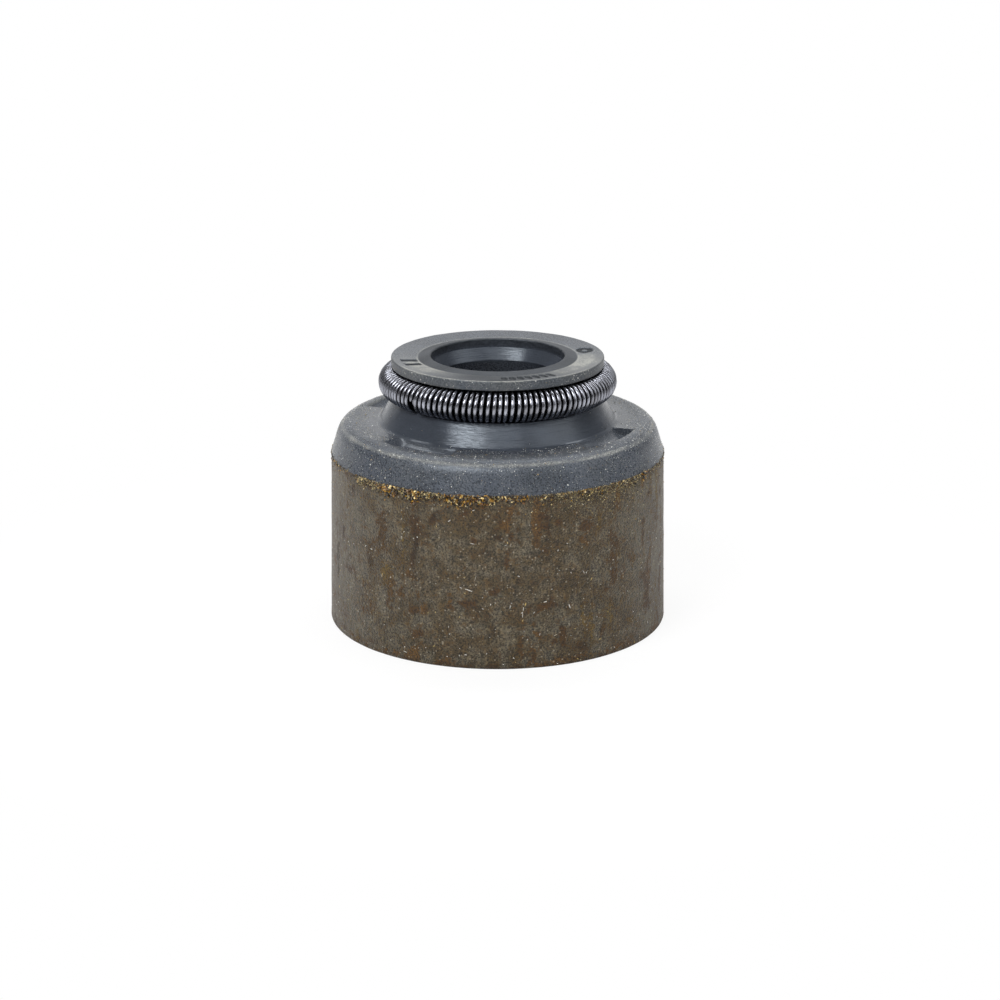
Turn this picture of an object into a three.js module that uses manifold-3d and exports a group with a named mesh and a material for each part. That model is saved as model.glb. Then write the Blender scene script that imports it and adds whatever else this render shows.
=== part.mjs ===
// Valve stem seal of a car engine, three pieces: a drawn steel sleeve, a rubber body that is moulded
// onto it, and a garter spring that draws the sealing lip in on the valve stem.
// Millimetres, +Z up. The origin is the middle of the sleeve's open rim, and the front faces -Y.
import * as THREE from "three";
import { mergeVertices } from "three/addons/utils/BufferGeometryUtils.js";
import Module from "manifold-3d";

const wasm = await Module();
wasm.setup();

// The valve stem that runs through the seal and the valve guide that the seal is pushed onto
const stemDiameter = 6;
const guideDiameter = 12;

// Steel sleeve
const steelWall = 0.6;
const bareSteelHeight = 8.3; // from the rim up to the rubber
const sleeveTaper = 0.16; // how much wider the radius is at the rim than at the rubber
const rimRound = 0.1;
const rebateDepth = 0.38; // the step inwards that leaves room for the skirt
const bendInside = 0.2; // radius inside the bend into the sleeve's inward flange
const holeCover = 0.6; // rubber inside the hole of the sleeve's flange

// Rubber shoulder, outside
const shoulderHeight = 1.53; // from the edge of the bare steel up to the ledge
const skirtLean = 17.1; // degrees from upright
const shoulderRound = 0.8;
const steelCover = 0.55; // rubber on top of the sleeve's flange

// Neck between the ledge and the spring
const neckHeight = 1.1;
const neckFlare = 0.666; // how much wider the radius is at the foot than at the top
const neckFillet = 0.25;
const neckWall = 1.05;

// Scooped pockets in the ledge, round the foot of the neck
const pocketAngles = [-125, -35, 55, 145]; // middle of each, from the front towards +X
const pocketSpan = 34; // degrees
const pocketOffset = 0.05; // from the neck's foot
const pocketWidth = 1.04;
const pocketDepth = 0.3;

// Sealing lip
const lipInterference = 0.1; // on radius, against the stem
const lipWall = 1.306; // rubber between the lip's edge and the spring's groove
const lipRise = 0.23; // of the lip's edge above the middle of the coil
const lipRelief = 24; // degrees from upright, on the side under the lip
const lipReliefDepth = 0.9;

// Garter spring
const coilDiameter = 1.456; // outside
const wireDiameter = 0.21;
const turnGap = 0.0145; // between neighbouring turns, on the inside of the ring
const nibTurns = 3; // turns of the narrow end that is screwed into the other end
const nibClearance = 0.03;
const springJointAngle = -46; // degrees from the front
const springClearance = 0.05; // between the coil and its groove
const grooveOverhang = 0.05; // how far the groove's lower lip reaches past the middle of the coil

// Flange on top, and the raised bead round the bore
const flangeOverhang = 0.103; // past the middle of the coil
const flangeThickness = 0.456;
const flangeRound = 0.05;
const flangeDish = 0.08; // how far the flange's top sinks towards the bead
const beadRise = 0.107;
const beadWidth = 0.605;
const mouthClearance = 0.185; // on radius, between the stem and the bore's mouth
const mouthDepth = 0.437; // of the mouth's upright wall

// Lining that grips the valve guide
const liningWall = 1.4; // between the guide and the sleeve, at the rubber's edge
const liningClearance = 0.25; // on radius, between the guide and the lining
const stopCover = 0.28; // rubber under the sleeve's flange, where the guide's end stops
const liningFootHeight = 1.2; // of the bare steel inside the rim
const liningLeadIn = 0.5;
const plainHeight = 2.4; // of the lining above the ribs, round the chamfered end of the guide
const ribCount = 3;
const ribInterference = 0.15; // on radius, against the guide
const ribWidth = 1;

// How finely round shapes are divided
const roundSegments = 36;
const filletStep = THREE.MathUtils.degToRad(30);
const grooveSteps = 8;
const ribSteps = 3;
const pocketSteps = 16;
const stepsPerTurn = 8;
const wireSides = 4;

// Heights that follow from the sizes above
const ledgeHeight = bareSteelHeight + shoulderHeight;
const steelTop = ledgeHeight - steelCover;
const stopHeight = steelTop - steelWall - stopCover;
const neckTop = ledgeHeight + neckHeight;
const grooveRadius = coilDiameter / 2 + springClearance;
const springHeight = neckTop + grooveRadius;
const flangeUnderside = springHeight + grooveRadius;
const flangeTop = flangeUnderside + flangeThickness;
const mouthHeight = flangeTop - flangeDish + beadRise;
const lipHeight = springHeight + lipRise;

// Radii that follow from them
const sleeveLineRadius = guideDiameter / 2 + liningWall + steelWall;
const liningRadius = guideDiameter / 2 + liningClearance;
const ribRadius = guideDiameter / 2 - ribInterference;
const mouthRadius = stemDiameter / 2 + mouthClearance;
const lipRadius = stemDiameter / 2 - lipInterference;
const springRingRadius = lipRadius + lipWall + grooveRadius;
const neckTopRadius = springRingRadius + grooveOverhang;
const neckFootRadius = neckTopRadius + neckFlare;
const passageRadius = neckFootRadius - neckWall;

// Outside and inside radius of the tapered sleeve wall at a height
function sleeveRadius(height) {
  return sleeveLineRadius + sleeveTaper * (1 - height / bareSteelHeight);
}

function sleeveInsideRadius(height) {
  return sleeveRadius(height) - steelWall;
}

// Arc that rounds one corner of an outline, and takes no more of each edge than its room there
function roundedCorner(before, corner, after, fillet, room) {
  const toBefore = before.clone().sub(corner);
  const toAfter = after.clone().sub(corner);
  const halfAngle = Math.abs(toBefore.angleTo(toAfter)) / 2;
  const reach = Math.min(fillet / Math.tan(halfAngle), room);
  const radius = reach * Math.tan(halfAngle);
  const middle = toBefore.clone().normalize().add(toAfter.clone().normalize()).normalize();
  const centre = corner.clone().addScaledVector(middle, radius / Math.sin(halfAngle));
  const start = toBefore.setLength(reach).add(corner).sub(centre);
  const end = toAfter.setLength(reach).add(corner).sub(centre);
  const turn = Math.atan2(start.cross(end), start.dot(end));
  const steps = Math.ceil(Math.abs(turn) / filletStep);
  const origin = new THREE.Vector2();
  return Array.from({ length: steps + 1 }, (_, i) =>
    start.clone().rotateAround(origin, (turn * i) / steps).add(centre),
  );
}

// Outline through corners given as [radius, height], or [radius, height, fillet] where one is rounded.
// Two rounded corners share the edge between them.
function outline(corners) {
  const points = corners.map(([radius, height]) => new THREE.Vector2(radius, height));
  const room = (i, neighbour) =>
    points[i].distanceTo(points[neighbour]) * (corners[neighbour][2] ? 0.49 : 0.98);
  return corners.flatMap(([, , fillet], i) => {
    if (!fillet) return [points[i]];
    const least = Math.min(room(i, i - 1), room(i, i + 1));
    return roundedCorner(points[i - 1], points[i], points[i + 1], fillet, least);
  });
}

// Closed ring turned round +Z from a closed outline
function turned(profile) {
  const closed = [...profile, profile[0]];
  return new THREE.LatheGeometry(closed, roundSegments).rotateX(Math.PI / 2);
}

function toSolid(geometry) {
  const bare = geometry.clone().deleteAttribute("normal").deleteAttribute("uv");
  const merged = mergeVertices(bare, 1e-4);
  const mesh = new wasm.Mesh({
    numProp: 3,
    vertProperties: new Float32Array(merged.attributes.position.array),
    triVerts: new Uint32Array(merged.index.array),
  });
  return new wasm.Manifold(mesh);
}

function toGeometry(solid) {
  const { vertProperties, triVerts } = solid.getMesh();
  const geometry = new THREE.BufferGeometry();
  geometry.setAttribute("position", new THREE.BufferAttribute(vertProperties, 3));
  geometry.setIndex(new THREE.BufferAttribute(triVerts, 1));
  geometry.computeVertexNormals();
  return geometry;
}

// Steel surface that the rubber is bonded to, from the edge of the skirt over the rebate, the bend
// and the flange, and down the inside to the foot of the lining. Both pieces share it.
function bondedSurface() {
  const rebateRadius = sleeveLineRadius - rebateDepth;
  const joggleTop = bareSteelHeight - steelWall + rebateDepth / 2;
  const joggleFoot = joggleTop - rebateDepth;
  return outline([
    [sleeveLineRadius, bareSteelHeight],
    [rebateRadius, bareSteelHeight],
    [rebateRadius, steelTop, bendInside + steelWall],
    [passageRadius + holeCover, steelTop],
    [passageRadius + holeCover, steelTop - steelWall],
    [rebateRadius - steelWall, steelTop - steelWall, bendInside],
    [rebateRadius - steelWall, joggleTop],
    [sleeveInsideRadius(joggleFoot), joggleFoot],
    [sleeveInsideRadius(liningFootHeight), liningFootHeight],
  ]);
}

// Bare part of the sleeve, from the foot of the lining round the open rim to the edge of the skirt
function bareSteelSurface() {
  return outline([
    [sleeveInsideRadius(liningFootHeight), liningFootHeight],
    [sleeveInsideRadius(0), 0, rimRound],
    [sleeveRadius(0), 0, rimRound],
    [sleeveLineRadius, bareSteelHeight],
  ]).slice(1, -1);
}

// Skirt, shoulder, ledge and neck, from the edge of the bare steel up to the spring groove
function shoulderSurface() {
  const lean = THREE.MathUtils.degToRad(skirtLean);
  return outline([
    [sleeveLineRadius, bareSteelHeight],
    [sleeveLineRadius - shoulderHeight * Math.tan(lean), ledgeHeight, shoulderRound],
    [neckFootRadius, ledgeHeight, neckFillet],
    [neckTopRadius, neckTop],
  ]).slice(1);
}

// Groove that holds the coil, from its lower lip round the inside to the flange's underside
function grooveSurface() {
  const lip = -Math.PI / 2 + Math.asin(grooveOverhang / grooveRadius);
  const top = -1.5 * Math.PI;
  return Array.from({ length: grooveSteps }, (_, i) => {
    const angle = THREE.MathUtils.lerp(lip, top, (i + 1) / grooveSteps);
    const radius = springRingRadius + grooveRadius * Math.cos(angle);
    return new THREE.Vector2(radius, springHeight + grooveRadius * Math.sin(angle));
  });
}

// Flange, bead, mouth, lip, passage through the neck and the face that stops the guide
function boreSurface() {
  const flangeRadius = springRingRadius + flangeOverhang;
  const relief = THREE.MathUtils.degToRad(lipRelief);
  const reliefFoot = lipHeight - lipReliefDepth;
  return outline([
    [springRingRadius, flangeUnderside],
    [flangeRadius, flangeUnderside, flangeRound],
    [flangeRadius, flangeTop, flangeRound],
    [mouthRadius + beadWidth, flangeTop - flangeDish],
    [mouthRadius, mouthHeight, flangeRound],
    [mouthRadius, mouthHeight - mouthDepth],
    [lipRadius, lipHeight],
    [lipRadius + lipReliefDepth * Math.tan(relief), reliefFoot],
    [neckTopRadius - neckWall, Math.min(neckTop, reliefFoot)],
    [passageRadius, ledgeHeight],
    [passageRadius, stopHeight],
    [liningRadius, stopHeight],
  ]).slice(1);
}

// Lining on the inside of the sleeve, with rounded ribs that bite on the guide
function liningSurface() {
  const liningFoot = liningFootHeight + liningLeadIn;
  const ribTop = stopHeight - plainHeight;
  const ribs = Array.from({ length: ribCount }, (_, rib) => {
    const middle = THREE.MathUtils.lerp(ribTop, liningFoot, (rib + 0.5) / ribCount);
    return Array.from({ length: ribSteps + 1 }, (_, i) => {
      const along = i / ribSteps - 0.5;
      const rise = (liningRadius - ribRadius) * Math.cos(Math.PI * along);
      return new THREE.Vector2(liningRadius - rise, middle - along * ribWidth);
    });
  });
  const foot = outline([
    [liningRadius, liningFoot],
    [liningRadius + liningLeadIn, liningFootHeight],
  ]);
  return [...ribs.flat(), ...foot];
}

function steelSleeve() {
  return turned([...bondedSurface(), ...bareSteelSurface()]);
}

// Ring groove with a round floor, of which the pockets are four separate arcs
function pockets() {
  const halfWidth = pocketWidth / 2;
  const floorRadius = (halfWidth ** 2 + pocketDepth ** 2) / (2 * pocketDepth);
  const ringRadius = neckFootRadius + pocketOffset + halfWidth;
  const ring = new THREE.TorusGeometry(ringRadius, floorRadius, pocketSteps, 2 * roundSegments);
  ring.translate(0, 0, ledgeHeight - pocketDepth + floorRadius);
  const ringSolid = toSolid(ring);
  const half = THREE.MathUtils.degToRad(pocketSpan / 2);
  const arcs = pocketAngles.map((degrees) => {
    const middle = THREE.MathUtils.degToRad(degrees - 90);
    const sector = new THREE.Shape();
    sector.moveTo(0, 0);
    sector.absarc(0, 0, ringRadius + 2 * floorRadius, middle - half, middle + half, false);
    sector.lineTo(0, 0);
    const wedge = new THREE.ExtrudeGeometry(sector, { depth: 4 * floorRadius, bevelEnabled: false });
    wedge.translate(0, 0, ledgeHeight - 2 * floorRadius);
    return ringSolid.intersect(toSolid(wedge));
  });
  return arcs.reduce((all, arc) => all.add(arc));
}

function rubberBody() {
  const profile = [
    ...bondedSurface().reverse(),
    ...shoulderSurface(),
    ...grooveSurface(),
    ...boreSurface(),
    ...liningSurface(),
  ];
  return toGeometry(toSolid(turned(profile)).subtract(pockets()));
}

// Middle of the wire: a coil bent into a ring, whose last turns shrink and enter the first ones
class CoilPath extends THREE.Curve {
  constructor() {
    super();
    this.fullRadius = (coilDiameter - wireDiameter) / 2;
    this.nibRadius = this.fullRadius - wireDiameter - nibClearance;
    const innerCircle = 2 * Math.PI * (springRingRadius - this.fullRadius);
    this.fullTurns = Math.floor(innerCircle / (wireDiameter + turnGap));
    this.turns = this.fullTurns + nibTurns;
  }

  // Even steps round the coil
  getUtoTmapping(u) {
    return u;
  }

  ringAngle(turn) {
    return THREE.MathUtils.degToRad(springJointAngle - 90) + (2 * Math.PI * turn) / this.fullTurns;
  }

  // The wire narrows over one turn, just before it reaches the other end
  coilRadius(turn) {
    const taperEnd = this.fullTurns - 0.2;
    const taper = THREE.MathUtils.smoothstep(turn, taperEnd - 1, taperEnd);
    return THREE.MathUtils.lerp(this.fullRadius, this.nibRadius, taper);
  }

  // Direction from the middle of the coil out to the wire
  outward(turn, target = new THREE.Vector3()) {
    const around = 2 * Math.PI * turn;
    const ring = this.ringAngle(turn);
    const flat = Math.cos(around);
    return target.set(flat * Math.cos(ring), flat * Math.sin(ring), Math.sin(around));
  }

  getPoint(t, target = new THREE.Vector3()) {
    const turn = t * this.turns;
    const ring = this.ringAngle(turn);
    this.outward(turn, target).multiplyScalar(this.coilRadius(turn));
    target.x += springRingRadius * Math.cos(ring);
    target.y += springRingRadius * Math.sin(ring);
    target.z += springHeight;
    return target;
  }

  // Frames that keep the wire's section square to the coil instead of twisting along it
  computeFrenetFrames(steps) {
    const frames = { tangents: [], normals: [], binormals: [] };
    for (let i = 0; i <= steps; i++) {
      const t = i / steps;
      const tangent = this.getTangent(t);
      const binormal = new THREE.Vector3().crossVectors(tangent, this.outward(t * this.turns));
      binormal.normalize();
      frames.tangents.push(tangent);
      frames.normals.push(new THREE.Vector3().crossVectors(binormal, tangent));
      frames.binormals.push(binormal);
    }
    return frames;
  }
}

function garterSpring() {
  const path = new CoilPath();
  const corners = Array.from({ length: wireSides }, (_, i) => {
    const angle = (2 * Math.PI * i) / wireSides;
    return new THREE.Vector2(Math.cos(angle), Math.sin(angle)).multiplyScalar(wireDiameter / 2);
  });
  const section = new THREE.Shape(corners);
  const steps = path.turns * stepsPerTurn;
  return new THREE.ExtrudeGeometry(section, { steps, extrudePath: path, bevelEnabled: false });
}

const rustedSteel = new THREE.MeshStandardMaterial({ color: 0x5d5341, roughness: 0.7, metalness: 0.8 });
const greyRubber = new THREE.MeshStandardMaterial({ color: 0x565a60, roughness: 0.5, metalness: 0 });
const springSteel = new THREE.MeshStandardMaterial({ color: 0xa3a7b6, roughness: 0.3, metalness: 1 });

function piece(name, geometry, material) {
  const mesh = new THREE.Mesh(geometry, material);
  mesh.name = name;
  return mesh;
}

const seal = new THREE.Group();
seal.add(
  piece("steel_sleeve", steelSleeve(), rustedSteel),
  piece("rubber_body", rubberBody(), greyRubber),
  piece("garter_spring", garterSpring(), springSteel),
);

export default seal;
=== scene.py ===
"""Used valve stem seal of a car engine: a drawn steel sleeve with rust on it, a rubber body that is
moulded onto the sleeve, and a garter spring round the sealing lip. The script builds the seal round
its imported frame, on a white stage."""

import math
from types import SimpleNamespace

import bmesh
import bpy
import numpy as np
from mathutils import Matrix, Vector, noise


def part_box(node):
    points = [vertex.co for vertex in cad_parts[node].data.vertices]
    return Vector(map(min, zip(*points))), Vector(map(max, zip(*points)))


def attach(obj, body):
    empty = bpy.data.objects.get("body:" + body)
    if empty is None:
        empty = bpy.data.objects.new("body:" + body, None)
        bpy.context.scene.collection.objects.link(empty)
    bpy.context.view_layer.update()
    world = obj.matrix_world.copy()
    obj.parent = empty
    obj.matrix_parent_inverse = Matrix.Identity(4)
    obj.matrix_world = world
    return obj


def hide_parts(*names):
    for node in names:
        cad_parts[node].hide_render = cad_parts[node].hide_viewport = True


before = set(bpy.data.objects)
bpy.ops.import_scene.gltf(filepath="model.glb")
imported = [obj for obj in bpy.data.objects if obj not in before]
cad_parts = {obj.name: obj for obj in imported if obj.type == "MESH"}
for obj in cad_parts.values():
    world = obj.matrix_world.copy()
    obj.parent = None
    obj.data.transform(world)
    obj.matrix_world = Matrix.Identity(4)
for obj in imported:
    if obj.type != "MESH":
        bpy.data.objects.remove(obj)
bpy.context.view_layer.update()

bl_info = {
    "name": "Valve Stem Seal",
    "version": (1, 0, 0),
    "blender": (4, 5, 0),
    "location": "3D View > Sidebar > Valve Seal",
    "description": "Builds a used valve stem seal from its sleeve, rubber body and garter spring",
    "category": "Object",
}

MM = 0.001
SLEEVE_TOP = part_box("steel_sleeve")[1].z
LINE_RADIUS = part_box("rubber_body")[1].x
COIL_LOW, COIL_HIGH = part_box("garter_spring")

# Places on the sleeve are (degrees from the front towards +X, millimetres above the rim)
# Stains: place, half width and half height in millimetres, kind, strength
STAINS = [
    (3.1, 6.94, 0.20, 0.20, "rust", 0.95),
    (4.5, 7.65, 0.16, 0.22, "rust", 0.9),
    (14.2, 7.32, 0.30, 0.20, "brown", 0.8),
    (16.4, 6.55, 0.05, 0.95, "dark", 0.8),
    (20.6, 6.96, 0.25, 0.25, "brown", 0.8),
    (30.6, 6.65, 0.22, 0.30, "brown", 0.8),
    (43.1, 5.20, 0.09, 0.75, "brown", 0.85),
    (46.2, 3.80, 0.12, 0.25, "rust", 0.7),
    (16.5, 2.94, 0.85, 0.22, "brown", 0.6),
    (29.9, 0.84, 0.30, 0.25, "dark", 0.6),
    (16.8, 0.25, 0.70, 0.16, "rust", 0.7),
    (-27.4, 7.42, 0.28, 0.22, "brown", 0.7),
    (-27.2, 6.42, 0.42, 0.40, "brown", 0.75),
    (-37.6, 3.56, 0.10, 0.45, "rust", 0.85),
    (-33.6, 3.18, 0.20, 0.18, "rust", 0.6),
    (-28.2, 2.51, 0.36, 0.26, "brown", 0.85),
    (-15.8, 3.29, 0.13, 0.30, "rust", 0.8),
    (-8.7, 3.13, 0.45, 0.26, "brown", 0.6),
    (-40.1, 4.00, 0.32, 0.55, "olive", 0.7),
    (-47.3, 4.45, 0.16, 0.60, "dark", 0.6),
    (-47.5, 2.47, 0.12, 0.32, "rust", 0.6),
    (-35.7, 0.22, 0.60, 0.15, "rust", 0.7),
    (-56.0, 3.60, 0.16, 0.45, "brown", 0.5),
    (58.0, 5.60, 0.10, 0.70, "brown", 0.8),
    (63.0, 3.90, 0.16, 0.60, "rust", 0.6),
    (70.0, 6.40, 0.14, 0.80, "brown", 0.8),
    (74.0, 2.60, 0.20, 0.70, "brown", 0.8),
    (52.0, 1.30, 0.40, 0.25, "olive", 0.5),
]
# Flecks of lint: place, length in millimetres, slope in degrees
FLECKS = [
    (-7.2, 4.44, 0.34, 75),
    (-9.6, 3.84, 0.46, -18),
    (-12.1, 3.93, 0.16, -30),
    (-21.2, 0.97, 0.15, 60),
    (-10.4, 0.69, 0.14, 5),
    (-31.9, 0.43, 0.20, -15),
    (-46.8, 5.01, 0.20, 0),
    (-49.8, 5.06, 0.14, 45),
    (4.1, 3.06, 0.22, 80),
    (9.1, 3.16, 0.26, 78),
    (8.4, 2.94, 0.22, 84),
    (8.1, 2.74, 0.18, 92),
    (8.1, 2.58, 0.14, 96),
    (8.2, 2.38, 0.13, 70),
    (44.0, 4.67, 0.24, 50),
    (29.4, 4.40, 0.20, -60),
    (19.2, 1.54, 0.20, 20),
    (13.8, 1.65, 0.18, 70),
    (6.8, 4.52, 0.16, -20),
    (15.7, 3.21, 0.22, 10),
    (24.2, 2.84, 0.24, -70),
    (36.0, 0.94, 0.18, 30),
    (32.4, 3.98, 0.20, 65),
    (-8.2, 6.07, 0.26, -12),
    (-15.9, 7.09, 0.16, 40),
]
# Clumps of rust where the steel meets the rubber: degrees, half width in millimetres, gold or straw
CLUMPS = [
    (-52.0, 0.42, "straw"),
    (-46.0, 0.46, "straw"),
    (-38.8, 0.50, "gold"),
    (-33.5, 0.38, "straw"),
    (-28.7, 0.50, "gold"),
    (-24.0, 0.38, "straw"),
    (-20.3, 0.42, "straw"),
    (-12.5, 0.56, "gold"),
    (-4.3, 0.50, "gold"),
    (0.3, 0.26, "straw"),
    (4.5, 0.30, "gold"),
    (7.5, 0.26, "gold"),
    (15.8, 0.36, "straw"),
    (21.7, 0.34, "straw"),
    (30.1, 0.42, "straw"),
    (36.2, 0.36, "straw"),
    (45.2, 0.40, "straw"),
    (52.0, 0.36, "straw"),
    (59.0, 0.30, "gold"),
]


def tone(red, green, blue):
    """Linear colour of one written in 8-bit sRGB."""
    return tuple(
        (c / 255 / 12.92) if c <= 10 else ((c / 255 + 0.055) / 1.055) ** 2.4
        for c in (red, green, blue)
    )


def length(name, description, millimetres):
    return bpy.props.FloatProperty(
        name=name,
        description=description,
        default=millimetres * MM,
        min=0.0,
        precision=5,
        unit="LENGTH",
    )


def angle(name, description, degrees):
    return bpy.props.FloatProperty(
        name=name,
        description=description,
        default=math.radians(degrees),
        subtype="ANGLE",
    )


def colour(name, description, *srgb):
    return bpy.props.FloatVectorProperty(
        name=name,
        description=description,
        default=tone(*srgb),
        min=0.0,
        max=1.0,
        subtype="COLOR",
    )


def count(name, description, default):
    return bpy.props.IntProperty(name=name, description=description, default=default, min=0)


def share(name, description, default):
    return bpy.props.FloatProperty(
        name=name, description=description, default=default, min=0.0, max=1.0, subtype="FACTOR"
    )


def radiance(name, description, default):
    return bpy.props.FloatProperty(name=name, description=description, default=default, min=0.0)


class SealSleeve(bpy.types.PropertyGroup):
    wall: length("Wall", "Thickness of the steel sheet", 0.6)
    bare: length("Bare height", "Height of the steel from the rim up to the rubber", 8.3)
    taper: length("Taper", "How much wider the radius is at the rim than at the rubber", 0.16)
    rim: length("Rim rounding", "Radius on both edges of the open rim", 0.1)
    rebate: length("Rebate", "Step inwards that leaves room for the rubber skirt", 0.38)
    bend: length("Bend", "Radius inside the bend into the inward flange", 0.2)
    relief: length("Rust relief", "How far stains and scale stand up from the wall", 0.018)
    grey: colour("Grey film", "Colour of the wall's greyer patches", 87, 80, 65)
    olive: colour("Olive film", "Colour of the wall's browner patches", 68, 55, 33)
    rust: colour("Rust", "Colour of fresh rust", 98, 72, 37)
    brown: colour("Old rust", "Colour of old rust", 70, 50, 27)


class SealCrust(bpy.types.PropertyGroup):
    grains: count("Grains", "Grains of rust along the rubber's edge", 9600)
    lint: count("Lint", "Flecks scattered on the wall besides the large ones", 420)
    dust: count("Dust", "Pale grains on the rubber", 7000)
    gold: colour("Gold", "Colour of the bright crystals", 160, 118, 34)
    straw: colour("Straw", "Colour of the pale crystals", 140, 126, 88)
    umber: colour("Umber", "Colour of the dark crystals", 48, 36, 18)


class SealRubber(bpy.types.PropertyGroup):
    skirt: length("Skirt", "Height of the rubber's outside from the steel up to the ledge", 1.53)
    lean: angle("Skirt lean", "Slope of the skirt from upright", 17.1)
    shoulder: length("Shoulder", "Radius between skirt and ledge", 0.8)
    neck: length("Neck height", "Height of the neck between ledge and spring", 1.1)
    flare: length("Neck flare", "How much wider the radius is at the neck's foot than at its top", 0.666)
    fillet: length("Neck fillet", "Radius at the neck's foot", 0.25)
    pocket: length("Pocket depth", "Depth of the four scoops in the ledge", 0.3)
    lip: length("Lip", "Radius of the sealing lip's edge", 2.9)
    mouth: length("Mouth", "Radius of the bore above the lip", 3.185)
    flange: length("Flange", "Thickness of the flange on top", 0.456)
    bead: length("Bead", "Width of the raised bead round the mouth", 0.605)
    marks: length("Mark depth", "Depth of the mould marks in the flange", 0.075)
    grey: colour("Rubber", "Colour of the clean rubber", 62, 67, 76)
    worn: colour("Worn rubber", "Colour of the duller patches", 54, 58, 65)
    dust: colour("Dust", "Colour of the dust on the rubber", 158, 158, 152)


class SealSpring(bpy.types.PropertyGroup):
    wire: length("Wire", "Diameter of the wire", 0.21)
    turns: count("Turns", "Turns of full size round the ring", 122)
    nib: count("Nib turns", "Turns of the narrow end inside the other end", 3)
    joint: angle("Joint", "Where the ends meet, from the front towards +X", -46)
    bright: colour("Clean wire", "Colour of the clean wire", 176, 179, 190)
    dull: colour("Tarnish", "Colour of the tarnished wire", 120, 120, 125)


class SealStage(bpy.types.PropertyGroup):
    key: radiance("Left lamp", "Radiance of the left softbox", 12.8)
    fill: radiance("Right lamp", "Radiance of the right softbox", 1.5)
    top: radiance("Top lamp", "Radiance of the softbox above", 7.0)
    front: radiance("Front lamp", "Radiance of the softbox in front", 2.2)
    ambient: share("Ambient", "Strength of the light from all round", 0.17)
    floor: colour("Floor", "Colour of the floor", 246, 246, 246)


class SealSettings(bpy.types.PropertyGroup):
    sleeve: bpy.props.PointerProperty(type=SealSleeve)
    crust: bpy.props.PointerProperty(type=SealCrust)
    rubber: bpy.props.PointerProperty(type=SealRubber)
    spring: bpy.props.PointerProperty(type=SealSpring)
    stage: bpy.props.PointerProperty(type=SealStage)


def in_mm(group):
    """Values of a settings group by name, with its lengths in millimetres."""
    values = {}
    for name in type(group).__annotations__:
        value = getattr(group, name)
        is_length = group.bl_rna.properties[name].unit == "LENGTH"
        values[name] = value / MM if is_length else value
    return SimpleNamespace(**values)


def place(radius, angle, height):
    """Points on a turned surface, in the units of radius and height."""
    return np.stack([radius * np.sin(angle), -radius * np.cos(angle), height + 0 * angle], -1)


def smooth(value, low, high):
    """Smooth step from 0 at low to 1 at high."""
    t = np.clip((value - low) / (high - low), 0, 1)
    return t * t * (3 - 2 * t)


def bell(value, middle, width):
    """1 at the middle, falling away over the width on both sides."""
    return np.exp(-(((value - middle) / width) ** 2))


def rough(points, scale, seed=0.0):
    """Noise from -1 to 1 at each point, for shapes that shouldn't look turned."""
    shift = Vector((seed, 1.7 * seed, -seed))
    flat = np.asarray(points, float).reshape(-1, 3) * scale
    values = [noise.noise(Vector(point) + shift) for point in flat]
    return np.array(values).reshape(np.shape(points)[:-1])


def corner_arc(before, corner, after, fillet, room, step=math.radians(12)):
    """Points of the arc that rounds a corner and takes no more than its room of each edge."""
    back, on = before - corner, after - corner
    half = back.angle(on) / 2
    reach = min(fillet / math.tan(half), room)
    radius = reach * math.tan(half)
    middle = (back.normalized() + on.normalized()).normalized()
    centre = corner + middle * (radius / math.sin(half))
    start = corner + back.normalized() * reach - centre
    end = corner + on.normalized() * reach - centre
    turn = math.atan2(start.x * end.y - start.y * end.x, start.dot(end))
    steps = max(2, math.ceil(abs(turn) / step))
    arc = []
    for i in range(steps + 1):
        a = turn * i / steps
        c, s = math.cos(a), math.sin(a)
        arc.append(centre + Vector((start.x * c - start.y * s, start.x * s + start.y * c)))
    return arc


def outline(corners, spacing):
    """Rows through corners given as (radius, height), or (radius, height, rounding). spacing is the
    distance between rows on the straight edges, one for all or one for each edge."""
    points = [Vector(corner[:2]) for corner in corners]
    fillets = [corner[2] if len(corner) > 2 else 0 for corner in corners]
    spacings = spacing if isinstance(spacing, list) else [spacing] * (len(corners) - 1)
    stretches = []
    for i, (point, fillet) in enumerate(zip(points, fillets)):
        if not fillet:
            stretches.append([point])
            continue
        beside = [(points[j] - point).length * (0.49 if fillets[j] else 0.98) for j in (i - 1, i + 1)]
        stretches.append(corner_arc(points[i - 1], point, points[i + 1], fillet, min(beside)))
    rows = []
    for stretch, following, gap in zip(stretches, stretches[1:], spacings):
        rows += stretch
        start, end = stretch[-1], following[0]
        parts = max(1, math.ceil((end - start).length / gap))
        rows += [start.lerp(end, i / parts) for i in range(1, parts)]
    rows += stretches[-1]
    return [tuple(row) for row in rows]


def make_piece(name, points, faces, sharp=40):
    """Shaded mesh object from points in millimetres."""
    mesh = bpy.data.meshes.new(name)
    faces = faces if isinstance(faces, list) else faces.tolist()
    mesh.from_pydata((np.asarray(points) * MM).tolist(), [], faces)
    mesh.validate()
    mesh.shade_smooth()
    mesh.set_sharp_from_angle(angle=math.radians(sharp))
    piece = bpy.data.objects.new(name, mesh)
    bpy.context.scene.collection.objects.link(piece)
    return piece


def store(piece, name, values):
    """Keeps one number or colour per point with the mesh, for its material."""
    values = np.asarray(values, np.float32)
    is_colour = values.ndim > 1
    kind = "FLOAT_COLOR" if is_colour else "FLOAT"
    attribute = piece.data.attributes.new(name, kind, "POINT")
    attribute.data.foreach_set("color" if is_colour else "value", values.ravel())


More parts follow.
